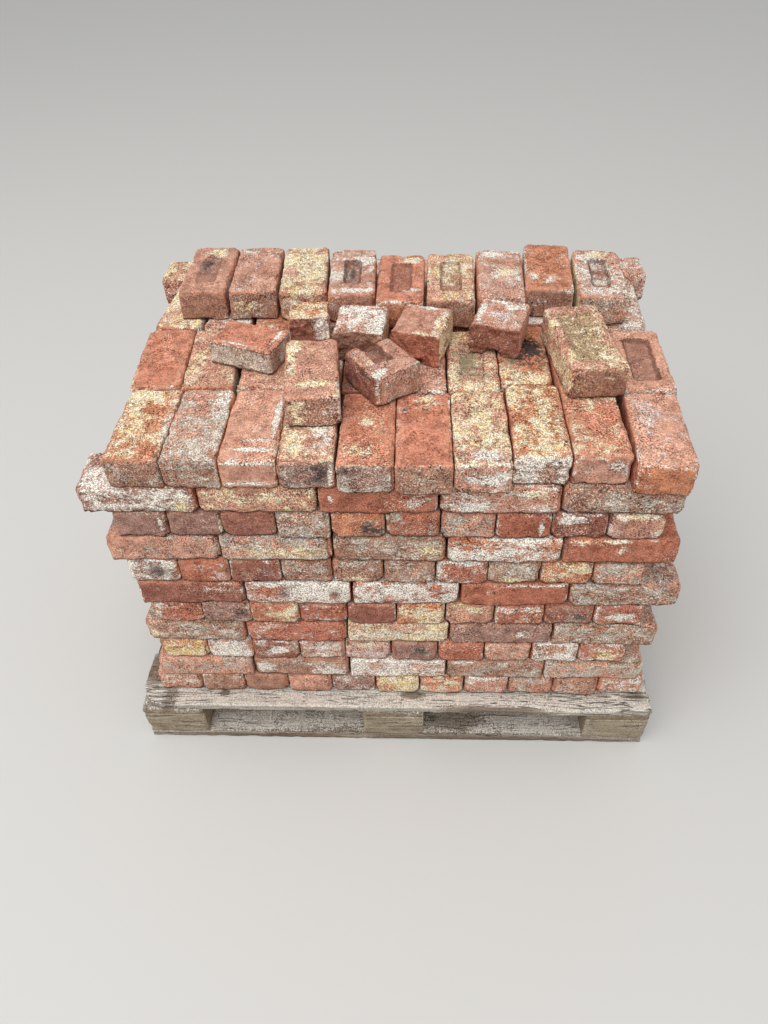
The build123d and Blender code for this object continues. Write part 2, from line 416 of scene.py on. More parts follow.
# The bricks that face the camera, from left to right
frontFinishes = {
    "course_10": ("p w5", "s y3", "r w0", "s w3", "b g4"),
    "course_09": ("p g1", "p w0", "d w1", "b g5", "o w1", "r g3", "s g4", "r w0", "d w1", "s l2"),
    "course_08": ("s g2", "s g6", "b g4", "o w5", "r w0"),
    "course_07": ("p w5", "r w2", "d w1", "b g3", "b g3", "b g4", "r w3", "b g4", "o y3", "s g4"),
    "course_06": ("d w0", "r w7r", "r w7", "r w0", "b g4"),
    "course_05": ("r w2", "p g3", "r y3r", "r w2", "d w0", "o y5", "s y2", "r w3", "d g2", "r w2"),
    "course_04": ("b g4", "r w2", "s y6d", "p g2", "b g5"),
    "course_03": ("o o7d", "s w7d", "d w2", "s w3", "s l4", "p g1", "r w2", "s w2", "s w6d", "r w3"),
    "course_02": ("s g3", "b w2", "s w7", "b g4", "s g5"),
    "course_01": ("s w3", "b w2", "b w0", "s w1", "p w3", "o y6", "c y4", "s w3", "s g4", "b w2", "s w4"),
    "top_row_front": ("o y5b/b g3", "s g5/b g3", "q w1rf/s w0", "s y4/p g3", "c y1/p g4", "c w0/b g2",
                      "s y5/s w3", "o y5/b w6", "c y3/s w2r", "q l2/o w1"),
    "top_row_middle": ("c y1/s w2", "s y3/o w3", "s y2/s w3", "o w3/o w2", "d w1/d w1", "s w2/s w3",
                       "q y5/q y6", "o y4f/o y4", "r w2/r w1", "q w1/q w3"),
    "top_row_third": ("s y5/o w2", "s w5/s w4", "o w1/o w3", "s w3/s w4", "s w3", "s w4/o w3", "s w3/d w1",
                      "s w4/d w0", "s w3/o w3", "s w4/q w6"),
    "top_row_back": ("s y6/r w3", "s w5", "s w3", "s w4", "s w3/s w3"),
    "crown_row": ("s w1/b w1", "s w2/b g3", "s y7/s y4", "s w3/s w2", "c w1/o w2", "q y4/b g2", "s w3/s w4",
                  "o w1/b w2", "s w4/s g4"),
    "short_brick": ("s y1/b w1",),
    "mossy_brick": ("s y4/b y2/s y5",),
}

# Marks left by mortar and soot: the brick's number in its row, the mark's place on the face from -1 to 1
# across and up, half its width and height in millimetres, its coat and how thick it lies
topMarks = {
    "top_row_front": [
        (0, 0.85, 0.1, 6, 70, "w", 0.7), (0, -0.1, -0.8, 40, 12, "y", 0.8), (0, -0.3, 0.3, 18, 60, "y", 0.7),
        (1, 0.6, 0.6, 16, 40, "w", 0.6), (2, 0.8, 0.2, 7, 74, "w", 1), (2, 0.2, -0.7, 40, 5, "w", 1),
        (2, 0.4, -0.45, 30, 4, "w", 0.9), (3, 0.4, -0.4, 30, 40, "w", 0.8), (3, -0.4, -0.5, 24, 40, "y", 0.9),
        (4, 0.1, 0.3, 26, 50, "y", 0.36), (4, -0.2, -0.6, 40, 22, "y", 0.32),
        (5, 0.1, 0.75, 20, 22, "y", 0.7), (5, -0.7, 0.5, 8, 5, "x", 1.2), (6, 0.1, -0.75, 40, 16, "w", 0.9),
        (7, 0.3, 0.3, 24, 50, "y", 0.8), (8, 0, 0.5, 36, 12, "y", 0.5), (9, -0.4, 0.3, 24, 50, "l", 0.6)],
    "top_row_middle": [
        (1, -0.5, -0.3, 16, 60, "y", 0.7), (6, -0.2, -0.1, 22, 56, "m", 0.6),
        (6, 0.1, -0.6, 30, 14, "m", 0.5), (7, 0.3, 0.2, 34, 64, "x", 0.74),
        (7, 0.1, -0.15, 44, 44, "k", 0.55), (7, 0, -0.75, 40, 16, "y", 1)],
    "crown_row": [
        (0, 0.1, 0.72, 34, 20, "y", 0.8), (0, -0.1, 0.2, 18, 44, "k", 0.4), (1, -0.3, 0.7, 30, 20, "w", 0.4),
        (3, 0, -0.8, 44, 10, "w", 1), (3, 0.8, 0.2, 9, 60, "w", 0.7), (3, 0, 0.1, 9, 36, "k", 0.8),
        (4, 0.4, 0.75, 26, 16, "y", 0.9), (4, 0.5, -0.5, 18, 8, "w", 0.9), (5, -0.56, 0.3, 11, 46, "o", 0.9),
        (5, 0.56, 0.1, 10, 46, "o", 0.9), (5, 0, -0.8, 28, 20, "o", 0.8), (5, 0, 0.9, 30, 10, "o", 0.8),
        (6, -0.4, 0.75, 30, 18, "w", 0.9), (6, 0.3, 0.05, 22, 22, "y", 0.9), (6, 0, -0.45, 40, 10, "l", 0.7),
        (7, -0.3, -0.5, 30, 24, "w", 0.42), (8, 0, 0.8, 30, 16, "y", 0.8), (8, 0.2, -0.7, 30, 14, "w", 0.7)],
    "short_brick": [
        (0, -0.7, 0.75, 18, 20, "y", 0.9), (0, -0.8, 0.1, 14, 46, "y", 0.6), (0, 0, -0.55, 44, 12, "y", 0.8)],
}
frontMarks = {
    "course_10": [
        (0, 0.75, -0.4, 18, 16, "y", 0.8), (0, -0.2, -0.3, 60, 12, "w", 0.8), (1, 0, 0.1, 70, 14, "y", 0.7),
        (2, -0.8, 0.1, 4, 12, "w", 1), (2, 0.55, 0, 30, 16, "w", 0.6), (3, -0.5, -0.5, 50, 10, "w", 0.8),
        (3, 0.6, 0.5, 36, 8, "y", 0.7)],
    "course_09": [
        (0, 0.8, 0.1, 4, 18, "w", 1), (4, 0.5, -0.2, 34, 26, "k", 0.6), (7, 0.65, -0.2, 3, 22, "w", 1),
        (8, -0.2, 0.45, 26, 8, "w", 1), (9, 0, 0.75, 44, 7, "y", 0.9), (9, 0.9, -0.1, 6, 26, "y", 0.8)],
    "course_08": [
        (0, -0.35, 0.2, 18, 4, "w", 0.8), (1, 0.1, -0.2, 80, 14, "y", 0.7), (2, 0.75, -0.1, 30, 14, "y", 0.8),
        (3, 0, 0, 80, 16, "w", 0.8), (4, -0.5, 0.8, 60, 5, "y", 0.9), (4, 0, 0.1, 12, 10, "y", 0.8)],
    "course_07": [
        (0, 0.2, 0, 20, 18, "k", 0.6), (2, 0.45, 0.1, 16, 14, "k", 0.6), (4, 0.1, -0.6, 40, 8, "y", 0.8),
        (7, 0, -0.6, 40, 8, "y", 0.8), (8, 0.3, 0.3, 26, 14, "y", 0.9)],
    "course_06": [
        (0, 0.4, 0.3, 40, 8, "w", 0.3), (1, -0.3, 0, 10, 18, "k", 0.5), (1, 0.7, 0, 10, 12, "k", 0.6),
        (3, 0.3, 0.85, 70, 4, "w", 0.9), (3, -0.4, 0.3, 8, 8, "y", 0.9)],
    "course_05": [
        (0, -0.9, 0, 8, 20, "y", 0.9), (1, 0.5, 0, 22, 16, "k", 0.6), (2, 0.55, 0, 24, 16, "y", 0.9),
        (3, 0.1, -0.7, 40, 8, "l", 0.5), (5, 0, 0.1, 36, 16, "y", 0.9), (6, 0.3, 0.5, 24, 8, "y", 0.8),
        (7, 0.6, 0.3, 16, 12, "y", 0.7), (8, 0.5, -0.1, 22, 14, "k", 0.6), (9, 0.1, -0.1, 30, 14, "w", 0.8)],
    "course_04": [
        (0, -0.88, -0.2, 20, 18, "y", 0.8), (1, -0.3, 0.75, 60, 4, "l", 0.7),
        (2, 0.1, -0.2, 90, 14, "w", 0.8), (2, 0.3, -0.4, 60, 12, "y", 0.9), (3, 0.45, 0.1, 24, 14, "w", 0.7)],
    "course_03": [
        (0, -0.1, -0.1, 34, 18, "o", 0.9), (1, 0, -0.2, 44, 18, "w", 1), (2, 0.1, 0.1, 24, 14, "w", 0.9),
        (4, 0, 0.7, 36, 8, "y", 0.8), (5, 0.3, 0.2, 22, 14, "k", 0.7), (8, 0.2, -0.35, 38, 12, "w", 1),
        (8, -0.4, 0.7, 22, 5, "w", 0.9), (9, 0.1, -0.2, 30, 16, "o", 0.6)],
    "course_02": [
        (1, 0.55, -0.4, 44, 12, "w", 0.9), (1, -0.75, 0, 30, 20, "w", 0.8), (2, 0, 0, 90, 18, "w", 0.8),
        (3, -0.6, 0.75, 36, 6, "w", 1)],
    "course_01": [
        (5, -0.2, 0, 18, 14, "o", 0.8), (5, 0.55, 0.2, 16, 14, "o", 0.8), (6, 0.55, 0.3, 16, 12, "y", 1),
        (6, 0.1, -0.4, 10, 10, "w", 0.9), (7, 0, 0.75, 40, 4, "w", 0.8)],
    "top_row_front": [
        (2, 0.1, 0.75, 50, 3, "w", 1), (2, 0, -0.55, 50, 4, "w", 1), (3, 0.4, 0.1, 38, 24, "k", 0.7),
        (3, 0.85, -0.1, 5, 24, "w", 0.8), (4, -0.5, 0.6, 26, 10, "k", 0.7), (6, 0.15, 0, 36, 18, "w", 1),
        (8, 0.6, 0.3, 24, 12, "w", 1)],
    "crown_row": [
        (1, -0.4, 0.1, 30, 20, "y", 0.7), (2, -0.3, 0.1, 26, 12, "w", 0.9)],
    "short_brick": [
        (0, -0.5, 0.1, 26, 24, "y", 0.7), (0, 0.5, 0.1, 30, 30, "l", 0.4)],
}


def readFace(token):
    clay, coat = token.split()
    lean = np.zeros(2)
    for letter in coat[2:]:
        lean += gathers[letter]
    return {"clay": np.array(linear(*clays[clay])), "tint": np.array(linear(*coats[coat[0]])),
            "amount": int(coat[1]) / 9, "lean": lean}


def readMesh(mesh):  # every vertex's place and normal
    count = len(mesh.vertices)
    place = np.empty(count * 3)
    mesh.vertices.foreach_get("co", place)
    normal = np.empty(count * 3, np.float32)
    mesh.vertex_normals.foreach_get("vector", normal)
    return place.reshape(-1, 3), normal.reshape(-1, 3)


def writeLayers(mesh, colours, values):
    for label, data in colours.items():
        layer = mesh.attributes.new(label, "FLOAT_COLOR", "POINT")
        layer.data.foreach_set("color", data.ravel())
    for label, data in values.items():
        layer = mesh.attributes.new(label, "FLOAT", "POINT")
        layer.data.foreach_set("value", data)


def squared(turn):  # the part of a turn that is left after whole quarter turns
    return turn - round(turn / math.radians(90)) * math.radians(90)


painting = {
    "paler": 0.16,          # how much paler the lowest courses are, because they are drier
    "palerBelow": 0.15,     # metres up to which they are at their palest
    "palerOver": 0.6,       # metres over which that fades
    "faceFrom": 0.4,        # how far a normal leans to a face before it counts,
    "faceOver": 0.4,        # and how much further until it counts in full
    "gathering": 0.5,
    "bareBreak": 0.7,       # the share of its coat that a broken face lacks
    "border": 17 * mm,
    "markFade": 1.5,        # half widths at which a mark has faded out
}


def paintBricks(mesh, blocks, draw, fresh=None):  # clay and coat colours for every vertex of a mesh of bricks
    place, normal = readMesh(mesh)
    count = len(place)
    index = np.zeros(count, np.int32)
    if "brick" in mesh.attributes:
        mesh.attributes["brick"].data.foreach_get("value", index)
    clay, tint = np.zeros((count, 4)), np.zeros((count, 4))
    coat, pick, border = np.zeros(count), np.zeros(count), np.zeros(count)
    clay[:, 3] = tint[:, 3] = 1
    for number, block in enumerate(blocks):
        chosen = np.nonzero(index == number)[0]
        faces = block["finish"].split("/")
        side = draw.choice(plainPicks)
        looks = {"top": readFace(faces[0]), "front": readFace(faces[min(1, len(faces) - 1)]),
                 "side": readFace(faces[2] if len(faces) > 2 else side)}
        up = (block["middle"][2] - painting["palerBelow"]) / painting["palerOver"]
        paler = 1 + painting["paler"] * min(max(1 - up, 0), 1)
        axes = turnedAxes(squared(block["turn"]))
        local, facing = (place[chosen] - block["middle"]) @ axes.T, normal[chosen] @ axes.T
        half = np.ptp(local, axis=0) / 2
        reach = (local - (local.max(0) + local.min(0)) / 2) / half
        weights = {face: np.clip((lean - painting["faceFrom"]) / painting["faceOver"], 0, 1)
                   for face, lean in (("top", facing[:, 2]), ("front", -facing[:, 1]))}
        weights["side"] = 1 - weights["top"] - weights["front"]
        spots = {"top": reach[:, :2], "front": reach[:, [0, 2]], "side": reach[:, [0, 2]]}
        for face, look in looks.items():
            share = weights[face]
            clay[chosen, :3] += share[:, None] * look["clay"] * paler
            tint[chosen, :3] += share[:, None] * look["tint"]
            gathered = 1 + painting["gathering"] * spots[face] @ look["lean"]
            coat[chosen] += share * np.clip(look["amount"] * gathered, 0, 1)
        if fresh is not None:  # broken faces show the clay inside, with little coat
            inside = np.array(linear(*clays[block["inside"]]))
            clay[:, :3] += fresh[:, None] * (inside - clay[:, :3])
            coat *= 1 - painting["bareBreak"] * fresh
        inset = ((1 - np.abs(reach[:, :2])) * half[:2]).min(1)
        border[chosen] = weights["top"] * np.clip(1 - inset / painting["border"], 0, 1)
        for face, rows in block.get("marks", {}).items():
            spans = half[:2] if face == "top" else half[[0, 2]]
            for across, high, width, height, letter, thickness in rows:
                away = (spots[face] - (across, high)) * spans / (width * mm, height * mm)
                near = weights[face] * np.clip(painting["markFade"] - np.linalg.norm(away, axis=1), 0, 1)
                tint[chosen, :3] += near[:, None] * (np.array(linear(*coats[letter])) - tint[chosen, :3])
                coat[chosen] = np.maximum(coat[chosen], near * thickness)
        pick[chosen] = block["pick"]
    writeLayers(mesh, {"clay": clay, "tint": tint}, {"coat": coat, "chance": pick, "border": border})


# Shader groups shared by the bricks and the timber

def speckleGroup():
    inputs = {"Vector": ("Vector", None), "Seed": ("Float", 0.0), "Scale": ("Float", 300.0)}
    tree, given, result = newGroup("speckle", inputs, ("Pits", "Grains", "Sand"))
    rough, other, sandy, crowd = (fbm(given["Vector"], given["Seed"] + step, given["Scale"] * share, detail)
                                  for step, share, detail in ((0.0, 1.2, 0.5), (9.0, 1.4, 0.5),
                                                              (21.0, 1.5, 0.0), (31.0, 0.13, 2.0)))
    plug(result["Pits"], rise(rough, 0.57, 0.64) * rise(crowd, 0.58, 0.42, 0.1, 1.0))
    plug(result["Grains"], rise(other, 0.57, 0.64) * rise(crowd, 0.4, 0.6, 0.15, 1.0))
    plug(result["Sand"], rise(sandy, 0.36, 0.64))
    return tree


def coatGroup():  # lime lies as a stipple that thickens where the amount, from 0 to 1, is high
    inputs = {"Vector": ("Vector", None), "Seed": ("Float", 0.0), "Amount": ("Float", 0.3),
              "Patch Scale": ("Float", 24.0)}
    tree, given, result = newGroup("limeCoat", inputs, ("Crust", "Film"))
    amount, seed, scale = given["Amount"], given["Seed"], given["Patch Scale"]
    laid = given["Vector"] * (1.0, 1.0, 1.7)
    broad = fbm(laid, seed, scale, 2.0, distortion=0.3)
    mottled = fbm(laid, seed + 5.0, scale * 4.0, 3.0, 0.65)
    stipple = fbm(given["Vector"], seed + 7.0, 430.0, 1.0, 0.7)
    density = amount * 1.3 - 0.22
    density += (broad - 0.5) * rise(amount, 0.05, 0.5, 1.2, 3.4)    # a thin coat lies evenly, a thick one
    density += (mottled - 0.5) * rise(amount, 0.05, 0.5, 1.8, 3.0)  # in patches
    plug(result["Crust"], rise(density + (stipple - 0.5) * 1.9, 0.42, 0.58))
    plug(result["Film"], rise(density, -0.1, 0.9))
    return tree


def wearGroup():
    inputs = {"Vector": ("Vector", None), "Seed": ("Float", 0.0), "Edge": ("Float", 0.0)}
    tree, given, result = newGroup("edgeWear", inputs, ("Worn",))
    broken = fbm(given["Vector"], given["Seed"], 90.0)
    plug(result["Worn"], rise(given["Edge"] * rise(broken, 0.35, 0.65, 0.5, 1.4), 0.2, 0.8))
    return tree


speckle, limeCoat, edgeWear = speckleGroup(), coatGroup(), wearGroup()


# What the materials share

def newMaterial(name, look):
    material = bpy.data.materials.new(name)
    material.use_nodes = True
    tree = material.node_tree
    tree.nodes.clear()
    shader = put(tree, "ShaderNodeBsdfPrincipled", {"Roughness": look["roughness"],
                                                    "Specular IOR Level": look["specular"]})
    tree.links.new(shader.outputs[0], put(tree, "ShaderNodeOutputMaterial").inputs["Surface"])
    return material, shader.inputs


def readLayer(tree, name, output="Fac"):
    return take(tree, "ShaderNodeAttribute", output=output, attribute_name=name)


def stain(body, mask, layer):  # lays a layer, a colour and its strength, over the body
    colour, strength = layer
    return blend(mask * strength, body, opaque(colour))


def finishSurface(shader, look, body, sand, relief):  # shades the body grain by grain and gives it its relief
    shade = rise(sand, 0.0, 1.0, *look["sandRange"])
    plug(shader["Base Color"], blend(1.0, body, together(shade, shade, shade), "MULTIPLY"))
    plug(shader["Normal"], take(body.tree, "ShaderNodeBump", {
        "Height": relief, "Strength": look["reliefStrength"], "Distance": look["reliefDepth"]}))


chanceSteps = 40.0      # sets the noise of one piece apart from the next

brickLook = {
    "mottleScale": 46.0,
    "dark": (0.66, 0.59, 0.56),
    "light": (1.22, 1.20, 1.17),
    "edge": ((214, 142, 108), 0.4),     # a layer's colour and its strength
    # painted shade in the joints: the colour laid on the arrises that face downwards
    "jointShade": ((46, 29, 25), 0.88),
    "border": ((234, 180, 154), 0.45),
    "grain": ((250, 226, 204), 0.85),
    "hollow": ((136, 96, 82), 0.45),
    "pitColour": (66, 38, 34),
    "pitStrength": 0.9,
    "limedPits": 0.32,      # how much of that is lost under lime
    "grainScale": 290.0,
    "grittyScale": 12.0,
    "sandRange": (0.62, 1.36),
    "creamColour": (246, 236, 222),
    "creamStrength": 0.7,
    "creamScale": 60.0,
    "filmStrength": 0.35,
    "edgingScale": 9.0,
    "edgingRange": (-0.4, 0.35),    # how much lime an arris loses or gains
    "chipLoss": 0.4,
    # painted shade and dirt on the wall of a hollow
    "rimShadeAndDirtColour": (88, 52, 42),
    "rimShadeAndDirtStrength": 0.6,
    "rimRagged": 0.5,
    "raggedScale": 130.0,
    "roughness": 0.92,
    "specular": 0.2,
    "reliefDepth": 1.6 * mm,
    "reliefStrength": 0.8,
    "mottleRelief": 1.2,
    "limeRelief": 0.6,
    "sandRelief": 0.6,
    "hollowRelief": 2.0,
}


def brickMaterial(name, look):
    material, shader = newMaterial(name, look)
    tree = material.node_tree
    coords = take(tree, "ShaderNodeTexCoord", output="Object")
    clay, tint = readLayer(tree, "clay", "Color"), readLayer(tree, "tint", "Color")
    chance = readLayer(tree, "chance") * chanceSteps
    arris, depth = readLayer(tree, "arris"), readLayer(tree, "depth")
    worn = useGroup(edgeWear, {"Vector": coords, "Seed": chance, "Edge": arris})["Worn"]
    spots = useGroup(speckle, {"Vector": coords, "Seed": chance, "Scale": look["grainScale"]})
    edging = rise(fbm(coords, chance + 23.0, look["edgingScale"], 1.0), 0.4, 0.6, *look["edgingRange"])
    rubbed = worn * edging + readLayer(tree, "coat") - readLayer(tree, "chipped") * look["chipLoss"]
    lime = useGroup(limeCoat, {"Vector": coords, "Seed": chance, "Amount": rubbed})

    # the clay, its pale border and arrises, and grains where lime has lain
    mottle = fbm(coords, chance + 3.0, look["mottleScale"], 4.0, 0.65)
    body = blend(rise(mottle, 0.3, 0.7), (*look["dark"], 1.0), (*look["light"], 1.0))
    body = blend(1.0, clay, body, "MULTIPLY")
    body = stain(body, readLayer(tree, "border") * rise(mottle, 0.35, 0.6, 0.2, 1.0), look["border"])
    body = stain(body, worn, look["edge"])
    gritty = (fbm(coords, chance + 41.0, look["grittyScale"], 1.0) - 0.5) * 1.2 + rubbed
    gritty = rise(gritty, 0.0, 0.45, 0.3, 1.0)
    body = stain(body, spots["Grains"] * gritty, look["grain"])

    # the hollow's floor, and its wall darkened by painted shade and by dirt
    ragged = fbm(coords, chance + 13.0, look["raggedScale"], 2.0)
    outline = 1.0 - readLayer(tree, "hollowed") + (ragged - 0.5) * look["rimRagged"]
    inside, floor = rise(outline, 0.06, -0.06), rise(outline, -0.2, -0.36)
    body = stain(body, inside, look["hollow"])
    wallShadeAndDirt = (inside - floor * 0.75) * look["rimShadeAndDirtStrength"]
    wallShadeAndDirt = calc("MULTIPLY", wallShadeAndDirt, rise(depth, 0.0, 0.7, 0.15, 1.0), use_clamp=True)

    # lime, pits, and painted shade on the arrises that face downwards, in the joints between bricks
    pale = rise(take(tree, "ShaderNodeRGBToBW", {"Color": tint}), 0.25, 0.5)   # soot and moss stay dark
    cream = fbm(coords, chance + 17.0, look["creamScale"], 4.0, 0.7)
    creamy = rise(cream, 0.35, 0.65, 0.0, look["creamStrength"])
    body = blend(lime["Film"] * look["filmStrength"], body, tint)
    body = blend(lime["Crust"], body, blend(creamy * pale, tint, opaque(look["creamColour"])))
    pitted = spots["Pits"] * (lime["Crust"] * -look["limedPits"] + look["pitStrength"]) * (gritty * 0.5 + 0.5)
    body = blend(pitted, body, opaque(look["pitColour"]))
    # painted shade and dirt: the hollow's wall is darkened, the more so the deeper the hollow
    body = blend(wallShadeAndDirt, body, opaque(look["rimShadeAndDirtColour"]))
    upward = apart(take(tree, "ShaderNodeNewGeometry", output="Normal"))[2]
    # painted shade: arrises that face downwards are darkened, as the joints between the bricks lie in shade
    body = stain(body, rise(arris, 0.15, 0.6) * rise(upward, -0.05, -0.45), look["jointShade"])

    sand = (spots["Sand"] - 0.5) * gritty + 0.5
    relief = mottle * look["mottleRelief"] + lime["Crust"] * look["limeRelief"] - spots["Pits"]
    relief += spots["Sand"] * look["sandRelief"] - inside * depth * look["hollowRelief"]
    finishSurface(shader, look, body, sand, relief)
    return material


firedBrick = brickMaterial("firedBrick", brickLook)
brokenBrick = brickMaterial("brokenBrick", {**brickLook, "mottleScale": 60.0})
mossyBrick = brickMaterial("mossyBrick", {**brickLook, "hollow": ((172, 153, 116), 0.7),
                                         "rimShadeAndDirtStrength": 0.15, "rimRagged": 2.4})
coreBrick = brickMaterial("coreBrick", {**brickLook, "edge": ((120, 76, 58), 0.4)})
print("brick materials made")


# Courses and top rows

topBlocks = {**courseBlocks, "Cells Long": 44, "Cells Across": 22, "Cells High": 12, "Even Spacing": 0.6,
             "Arris": 4.5 * mm, "Grit": 2.6 * mm, "Chip Depth": 7 * mm}
frontReach = 70 * mm    # how far behind the foremost brick another still counts as facing the camera


def layBricks(node, name, settings, material, draw):
    blocks = sorted(readBlocks(node), key=lambda block: block["middle"][0])
    depths = [block["size"][0 if abs(block["turn"]) > 1 else 1] / 2 for block in blocks]
    front = min(block["middle"][1] - depth for block, depth in zip(blocks, depths))
    finishes = iter(frontFinishes[node])
    shown = 0
    for block, depth in zip(blocks, depths):
        block["pick"] = draw.random()
        block["finish"] = draw.choice(plainPicks)
        if block["middle"][1] - depth < front + frontReach:
            block["finish"] = next(finishes, block["finish"])
            block["marks"] = {face: [row[1:] for row in rows.get(node, ()) if row[0] == shown]
                              for face, rows in (("top", topMarks), ("front", frontMarks))}
            shown += 1
    print(node, len(blocks), "bricks,", shown, "in front,", len(frontFinishes[node]), "finishes")
    piece = grow(name, pointsMesh(name, blocks), wornBlocks, {**settings, "Material": material})
    paintBricks(piece.data, blocks, draw)
    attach(piece, "root")
    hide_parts(node)


draw = random.Random(5)
for number in range(1, 11):
    node = f"course_{number:02d}"
    layBricks(node, node + "_bricks", courseBlocks, firedBrick, draw)
for node in ("top_row_front", "top_row_middle", "crown_row"):
    layBricks(node, node + "_bricks", topBlocks, firedBrick, draw)
for node in ("top_row_third", "top_row_back"):
    layBricks(node, node + "_bricks", courseBlocks, firedBrick, draw)
layBricks("short_brick", "short_brick_worn", topBlocks, firedBrick, draw)
layBricks("mossy_brick", "mossy_brick_worn", topBlocks, mossyBrick, draw)
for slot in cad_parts["stack_core"].material_slots:
    slot.link = "OBJECT"
    slot.material = coreBrick
print("bricks laid")


# Broken bricks: the solid is remeshed finely, its old faces worn and its fracture roughened

bats = {  # the way the fracture faces, in degrees, and what shows of the clay
    "bat_grey": {"broken": 159, "finish": "c w1/b g7/s g5", "inside": "s", "marks": {
        "top": [(0.78, 0.1, 5, 36, "w", 1.0), (0.2, -0.75, 60, 3, "w", 0.7)]}},
    "bat_yellow": {"broken": 275, "finish": "o y6/d w1/s w3", "inside": "d", "marks": {
        "top": [(0.3, 0.3, 30, 24, "y", 1.0)], "front": [(0.6, 0.2, 18, 22, "w", 1.0)]}},
    "bat_white": {"broken": 266, "finish": "s w5/b w1/s w3", "inside": "b", "marks": {
        "top": [(0.7, 0.0, 14, 50, "w", 0.9), (-0.5, 0.6, 30, 14, "w", 0.8)]}},
    "bat_slanted": {"broken": 255, "finish": "s w1/r w1/o y8", "inside": "r", "marks": {
        "top": [(0.75, -0.1, 12, 44, "y", 0.9), (0.3, -0.8, 30, 8, "y", 0.9), (-0.2, 0.8, 40, 6, "w", 0.6)]}},
    "bat_upturned": {"broken": 253, "finish": "s w2/d w1/s w2", "inside": "d", "marks": {
        "top": [(0.5, 0.6, 22, 12, "w", 1.0), (-0.75, 0.1, 8, 40, "w", 0.9), (-0.1, 0.85, 50, 8, "w", 0.9),
                (0.0, -0.1, 26, 24, "l", 0.5)]}},
    "bat_turned": {"broken": 125, "finish": "s w1/s g3/d w1", "inside": "o", "marks": {
        "top": [(-0.6, -0.7, 14, 10, "w", 1.0), (-0.6, 0.0, 12, 12, "y", 0.8)],
        "front": [(-0.9, 0.1, 4, 26, "w", 1.0), (-0.5, 0.5, 3, 12, "w", 0.9)]}},
}
batWear = {
    "voxel": 2.4 * mm,
    "rounding": 2,
    "reach": 26 * mm,           # how deep the fracture goes into the brick
    "waver": 2.4 * mm, "waverScale": 55.0,
    "grit": 1.0 * mm, "gritScale": 170.0,
    "fracture": 3.6 * mm, "fractureScale": 75.0,
    "arris": 1.6 * mm,          # stands this far out of its neighbourhood
    "arrisRounds": 6,
    "underside": 5 * mm,        # a hollow that lies face down starts this far up
    "deeper": 8 * mm,           # and is raised this much
    "hollowFrom": 3 * mm, "hollowTo": 16 * mm,      # an open hollow lies this far below the top
    "sunkBy": 5 * mm,
    "ribDepth": 1.5 * mm, "ribs": 8 * mm,
}


def bulge(mesh, rounds):  # how far each vertex stands out of its neighbourhood: an arris is above 0
    place, normal = readMesh(mesh)
    edges = np.empty(len(mesh.edges) * 2, np.int32)
    mesh.edges.foreach_get("vertices", edges)
    first, second = edges.reshape(-1, 2).T
    links = np.bincount(edges, minlength=len(place))[:, None]
    soft = place.copy()
    for _ in range(rounds):
        total = np.zeros_like(soft)
        np.add.at(total, first, soft[second])
        np.add.at(total, second, soft[first])
        soft = total / links
    return np.einsum("ij,ij->i", place - soft, normal)


def ripple(points, scale, offset):  # three channels of smooth noise
    return np.array([noise.noise_vector(Vector(point) * scale + Vector((offset, 0, 0))) for point in points])


def makeBat(node, settings, wear, draw):
    shell = mergedShell(node)
    piece = addObject(node + "_worn", bpy.data.meshes.new(node + "_worn"))
    shell.to_mesh(piece.data)
    shell.free()
    remesh = piece.modifiers.new("remesh", "REMESH")
    remesh.mode = "VOXEL"
    remesh.voxel_size = wear["voxel"]
    softened = piece.modifiers.new("soften", "SMOOTH")
    softened.factor = 0.5
    softened.iterations = wear["rounding"]
    bakeModifiers(piece)

    mesh = piece.data
    raw, normal = readMesh(mesh)
    low, high = raw.min(0), raw.max(0)
    towards = math.radians(settings["broken"])
    axis, sideways, _ = turnedAxes(towards)
    along = raw @ axis
    deep = (along - along.max() + 2 * wear["reach"]) / wear["reach"]
    fresh = np.clip((normal @ axis - 0.35) / 0.3, 0, 1) * np.clip(deep, 0, 1)
    chance = draw.random()
    fine = ripple(raw, wear["gritScale"], 60 * chance)
    moved = ripple(raw, wear["waverScale"], 40 * chance) * wear["waver"] + fine * wear["grit"]
    jagged = ripple(raw, wear["fractureScale"], 9 * chance)[:, :1] + 0.6 * fine[:, :1]
    place = raw + moved * (1 - fresh[:, None]) + jagged * normal * wear["fracture"] * fresh[:, None]

    height, upward = raw[:, 2], normal[:, 2]
    under = (upward < -0.6) & (height > low[2] + wear["underside"])
    slot = (height < high[2] - wear["hollowFrom"]) & (height > high[2] - wear["hollowTo"]) & (upward > 0.3)
    bottom = slot & (upward > 0.85)
    place[under, 2] += wear["deeper"]
    ribs = wear["ribDepth"] * np.sin((raw @ sideways)[bottom] * 2 * math.pi / wear["ribs"])
    place[bottom, 2] -= wear["sunkBy"] + ribs
    mesh.vertices.foreach_set("co", place.ravel())
    mesh.update()

    arris = np.clip(bulge(mesh, wear["arrisRounds"]) / wear["arris"], 0, 1)
    block = {"middle": (low + high) / 2, "turn": towards, "pick": chance, **settings}
    paintBricks(mesh, [block], draw, fresh)
    writeLayers(mesh, {}, {"arris": arris * (1 - fresh), "hollowed": slot * 1.15 + bottom * 0.45,
                           "depth": np.full(len(place), 0.6)})
    mesh.shade_smooth()
    mesh.materials.append(brokenBrick)
    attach(piece, "root")
    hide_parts(node)


for node, settings in bats.items():
    makeBat(node, settings, batWear, draw)
print("broken bricks made")


# Pallet: boards, skids and blocks from the same tree, with wane and splits on the front board

